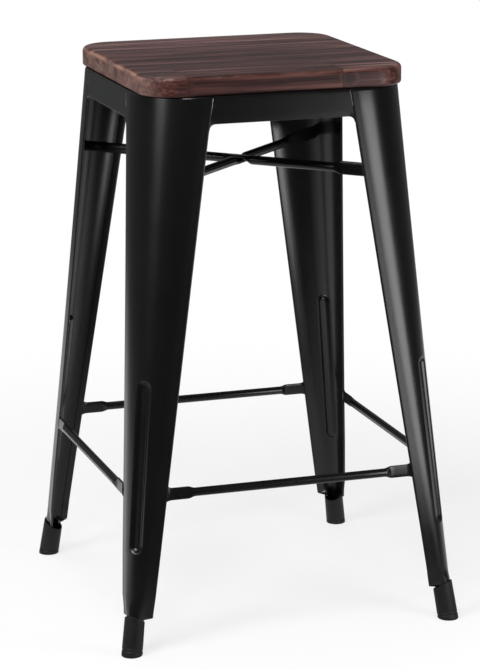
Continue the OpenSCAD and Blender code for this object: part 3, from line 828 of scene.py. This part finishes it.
# ---------------------------------------------------------------- seams between aprons and legs
def bead(points, radius):
    """A thin rounded bead along a line of points, thinner towards its ends."""
    p = np.array(points, float)
    n = 8
    pts, count = [], len(p)
    for i, q in enumerate(p):
        t = p[min(i + 1, count - 1)] - p[max(i - 1, 0)]
        t = t / np.linalg.norm(t)
        u = np.cross(t, [0.0, 0.0, 1.0]) if abs(t[2]) < 0.9 else np.cross(t, [0.0, 1.0, 0.0])
        u = u / np.linalg.norm(u)
        v = np.cross(t, u)
        r = radius * (0.25 + 0.75 * math.sin(math.pi * (i + 0.5) / count) ** 0.5)
        for k in range(n):
            a = 2 * math.pi * k / n
            pts.append(q + r * (math.cos(a) * u + math.sin(a) * v))
    return np.array(pts), ring_faces(count, n)


def make_seams():
    """Pale beads where the aprons meet the legs, each a little uneven."""
    verts, faces = [], []
    rng = np.random.default_rng(7)
    for degrees in (0, 90, 180, 270):
        for sign in (-1, 1):
            wave = rng.uniform(-1, 1, 3)
            sink = SEAM_SINK_FRONT if degrees == 0 else SEAM_SINK
            much = SEAM_SWAY * (1 if wave[1] > 0 else 0.4)
            line = []
            for t in np.linspace(0, 1, 14):
                z = FRAME_H - RIM - 0.2 - t * SEAM_L
                sway = much * math.sin(3 * math.pi * t + wave[0] * 2)
                line.append((sign * (edge_at(z) + sway), sink - face_at(z), z))
            v, f = bead(turned(line, degrees), SEAM_R)
            base = sum(len(b) for b in verts)
            verts.append(v)
            faces += [tuple(base + i for i in q) for q in f]
    piece("joint_seams", np.concatenate(verts), faces, seam_metal, (), 60)


make_seams()


# ---------------------------------------------------------------- seat
def board_mesh():
    """The whole seat board as one closed mesh, its edges rounded all round."""
    half = SEAT_W / 2
    corner = half - SEAT_R
    outline = []
    for q, (sx, sy) in enumerate(((1, 1), (-1, 1), (-1, -1), (1, -1))):
        for a in np.linspace(0, math.pi / 2, 19):
            b = a + q * math.pi / 2
            outline.append((sx * corner, sy * corner, math.cos(b), math.sin(b)))
    profile = [(SEAT_UNDER_R * (1 - math.sin(t)), SEAT_UNDER_R * (1 - math.cos(t)))
               for t in np.linspace(0, math.pi / 2, 6)]
    profile += [(SEAT_TOP_R * (1 - math.cos(t)), SEAT_T - SEAT_TOP_R * (1 - math.sin(t)))
                for t in np.linspace(0, math.pi / 2, 10)]
    verts = []
    for inset, h in profile:
        r = SEAT_R - inset
        for cx, cy, nx, ny in outline:
            verts.append((cx + r * nx, cy + r * ny, FRAME_H + h))
    mesh = bpy.data.meshes.new("board")
    mesh.from_pydata([tuple(c * MM for c in v) for v in verts], [],
                     ring_faces(len(profile), len(outline)))
    return mesh


def make_board(name, index, stain, x0, x1, y0, y1, source):
    """One board cut from the whole seat; index sets its figure, stain how dark it is: partly the
    board's own stain, partly a painted sheen that leaves the back boards lighter.
    """
    bm = bmesh.new()
    bm.from_mesh(source)
    for value, axis, sign in ((x0, 0, -1), (x1, 0, 1), (y0, 1, -1), (y1, 1, 1)):
        if abs(value) > SEAT_W / 2 - 0.01:
            continue
        co, no = [0.0, 0.0, 0.0], [0.0, 0.0, 0.0]
        co[axis], no[axis] = value * MM, sign
        cut = bmesh.ops.bisect_plane(bm, geom=bm.verts[:] + bm.edges[:] + bm.faces[:], dist=1e-7,
                                     plane_co=co, plane_no=no, clear_outer=True)
        edges = [e for e in cut["geom_cut"] if isinstance(e, bmesh.types.BMEdge)]
        bmesh.ops.holes_fill(bm, edges=edges, sides=0)
    bmesh.ops.recalc_face_normals(bm, faces=bm.faces)
    mesh = bpy.data.meshes.new(name)
    bm.to_mesh(mesh)
    bm.free()
    for layer, value in (("board", index), ("stain", stain)):
        data = mesh.attributes.new(layer, "FLOAT", "POINT").data
        data.foreach_set("value", [value] * len(mesh.vertices))
    dress(name + "_board", mesh, wood, (name,), 35)


whole = board_mesh()
edge = SEAT_W / 2
row = [-edge + i * STAVE for i in range(STAVES + 1)]
# stain values: the lowest ones, on the back boards, are a painted sheen; the rest are the boards'
# own stain
make_board("seat_stave_front_left", 0.4, 0.60, -edge, -JOINT_LEFT, row[0], row[1], whole)
make_board("seat_stave_front_middle", 1.3, 0.80, -JOINT_LEFT, JOINT_RIGHT, row[0], row[1], whole)
make_board("seat_stave_front_right", 2.1, 0.60, JOINT_RIGHT, edge, row[0], row[1], whole)
make_board("seat_stave_2", 3.2, 0.85, -edge, edge, row[1], row[2], whole)
make_board("seat_stave_3", 4.7, 0.95, -edge, edge, row[2], row[3], whole)
make_board("seat_stave_4", 5.9, 0.50, -edge, edge, row[3], row[4], whole)
make_board("seat_stave_back", 6.6, 0.00, -edge, edge, row[4], row[5], whole)
bpy.data.meshes.remove(whole)

# ---------------------------------------------------------------- carried-over CAD nodes
for node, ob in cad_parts.items():
    if node.startswith("corner_plate"):
        ob.data.materials.clear()
        ob.data.materials.append(coat_small)
    if node == "seat_screws":
        ob.data.materials.clear()
        ob.data.materials.append(zinc)


# ---------------------------------------------------------------- floor, world, lamps, camera
FLOOR_R = 2.4  # metres
FLOOR_RINGS = 12
FLOOR_SIDES = 48
# strength of the world as a plain fill, and in reflections towards the front and the back
ROOM_FILL, ROOM_FRONT, ROOM_BACK = 0.23, 0.05, 0.16


def stage_material():
    """Pale floor that the camera sees as white at a distance, and that keeps the shadow near by."""
    mat = bpy.data.materials.new("pale_floor")
    mat.use_nodes = True
    tree = mat.node_tree
    tree.nodes.clear()
    n = Nodes(tree)
    out = tree.nodes.new("ShaderNodeOutputMaterial")
    diffuse = tree.nodes.new("ShaderNodeBsdfDiffuse")
    tone = n.noise(n.coord, 3.0, 2.0)
    n.link(n.mix(tone, (0.93, 0.93, 0.93), (0.95, 0.95, 0.95)), diffuse.inputs["Color"])
    glow = tree.nodes.new("ShaderNodeEmission")
    glow.inputs["Color"].default_value = (1, 1, 1, 1)
    path = tree.nodes.new("ShaderNodeLightPath")
    glossy = path.outputs["Is Glossy Ray"]
    seen = n.math("MAXIMUM", path.outputs["Is Camera Ray"], path.outputs["Is Transmission Ray"])
    x, y, _ = n.axes()
    away = n.math("SQRT", n.math("ADD", n.math("MULTIPLY", x, x), n.math("MULTIPLY", y, y)))
    # In reflections the floor is white behind the stool and nearly dark in front of it. It is
    # dimmer close to the stool, a painted shadow under the stool, and far away too.
    room = n.remap(y, -0.60, 0.10, 0.93, 0.0)
    lit = n.math("MULTIPLY", n.math("SUBTRACT", 1.0, room), n.remap(away, 0.05, 0.50, 0.50, 1.0))
    lit = n.math("MULTIPLY", lit, n.remap(away, 1.1, 2.3, 1.0, 0.30))
    dark = n.math("MULTIPLY", glossy, n.math("SUBTRACT", 1.0, lit))
    n.link(n.math("SUBTRACT", 1.0, dark), glow.inputs["Strength"])
    mix = tree.nodes.new("ShaderNodeMixShader")
    white = n.math("MULTIPLY", seen, n.remap(away, 0.3, 1.3, 0.72, 1.0))
    n.link(n.math("MAXIMUM", white, glossy), mix.inputs["Fac"])
    tree.links.new(diffuse.outputs[0], mix.inputs[1])
    tree.links.new(glow.outputs[0], mix.inputs[2])
    tree.links.new(mix.outputs[0], out.inputs[0])
    return mat


def make_floor():
    """A round floor under the stool, which is part of the stage and not of the object."""
    mesh = bpy.data.meshes.new("floor")
    verts = []
    for k in range(1, FLOOR_RINGS + 1):
        for i in range(FLOOR_SIDES):
            a = 2 * math.pi * i / FLOOR_SIDES
            r = FLOOR_R * k / FLOOR_RINGS
            verts.append((r * math.cos(a), r * math.sin(a), 0.0))
    faces = ring_faces(FLOOR_RINGS, FLOOR_SIDES, closed_ends=False) + [tuple(range(FLOOR_SIDES))]
    mesh.from_pydata(verts, [], faces)
    mesh.materials.append(stage_material())
    ob = bpy.data.objects.new("floor", mesh)
    scene.collection.objects.link(ob)


make_floor()


def make_world():
    """White to the camera, and an even soft fill for light; reflections see it dim."""
    world = bpy.data.worlds.new("studio")
    scene.world = world
    world.use_nodes = True
    tree = world.node_tree
    tree.nodes.clear()
    n = Nodes(tree)
    out = tree.nodes.new("ShaderNodeOutputWorld")
    white = tree.nodes.new("ShaderNodeBackground")
    white.inputs["Color"].default_value = (1, 1, 1, 1)
    white.inputs["Strength"].default_value = 1.0
    fill = tree.nodes.new("ShaderNodeBackground")
    fill.inputs["Color"].default_value = (0.96, 0.98, 1.0, 1)
    path = tree.nodes.new("ShaderNodeLightPath")
    mix = tree.nodes.new("ShaderNodeMixShader")
    # in reflections the room is a little brighter behind the stool than in front of it
    toward = n.axes(tree.nodes.new("ShaderNodeTexCoord").outputs["Generated"])
    room = n.remap(toward[1], -0.5, 0.8, ROOM_FRONT - ROOM_FILL, ROOM_BACK - ROOM_FILL)
    n.link(n.math("MULTIPLY_ADD", path.outputs["Is Glossy Ray"], room, ROOM_FILL),
           fill.inputs["Strength"])
    n.link(n.math("MAXIMUM", path.outputs["Is Camera Ray"], path.outputs["Is Transmission Ray"]),
           mix.inputs["Fac"])
    tree.links.new(fill.outputs[0], mix.inputs[1])
    tree.links.new(white.outputs[0], mix.inputs[2])
    tree.links.new(mix.outputs[0], out.inputs[0])


make_world()


def lamp(name, place, target, size, watts):
    """A rectangular area lamp aimed at a target; places and sizes are in metres."""
    data = bpy.data.lights.new(name, "AREA")
    data.shape = "RECTANGLE"
    data.size, data.size_y = size
    data.energy = watts
    ob = bpy.data.objects.new(name, data)
    ob.location = place
    ob.rotation_euler = (Vector(target) - Vector(place)).to_track_quat("-Z", "Y").to_euler()
    scene.collection.objects.link(ob)


lamp("key_left", (-1.60, -0.80, 1.75), (0.0, 0.0, 0.60), (0.80, 0.70), 24)
lamp("strip_left", (-1.75, -0.85, 1.07), (0.0, 0.0, 0.60), (0.60, 0.62), 4.6)
lamp("card_right", (0.54, -0.75, 0.35), (0.19, -0.19, 0.35), (0.34, 0.58), 3.5)
lamp("top", (-0.30, 0.40, 1.75), (0.0, 0.0, 0.6), (1.1, 1.0), 6)
lamp("top_front", (-0.45, -0.80, 1.80), (0.0, 0.0, 0.5), (0.42, 0.42), 10)

CAMERA_PLACE = (-0.98605, -3.04652, 1.11548)
LENS, SENSOR = 204.39, 36.0
YAW, PITCH, ROLL = (math.radians(v) for v in (17.939, 13.983, -0.3052))


def make_camera():
    """The photo's camera: turned by YAW towards +X, looking down by PITCH, tipped by ROLL."""
    forward = Vector((math.sin(YAW) * math.cos(PITCH), math.cos(YAW) * math.cos(PITCH),
                      -math.sin(PITCH)))
    level = Vector((math.cos(YAW), -math.sin(YAW), 0))
    above = level.cross(forward)
    right = math.cos(ROLL) * level + math.sin(ROLL) * above
    up = -math.sin(ROLL) * level + math.cos(ROLL) * above
    place = Matrix((right, up, -forward)).transposed().to_4x4()
    place.translation = Vector(CAMERA_PLACE)
    data = bpy.data.cameras.new("camera")
    data.sensor_fit = "HORIZONTAL"
    data.sensor_width = SENSOR
    data.lens = LENS
    data.clip_start = 0.05
    data.clip_end = 60.0
    ob = bpy.data.objects.new("camera", data)
    scene.collection.objects.link(ob)
    ob.matrix_world = place
    scene.camera = ob


make_camera()
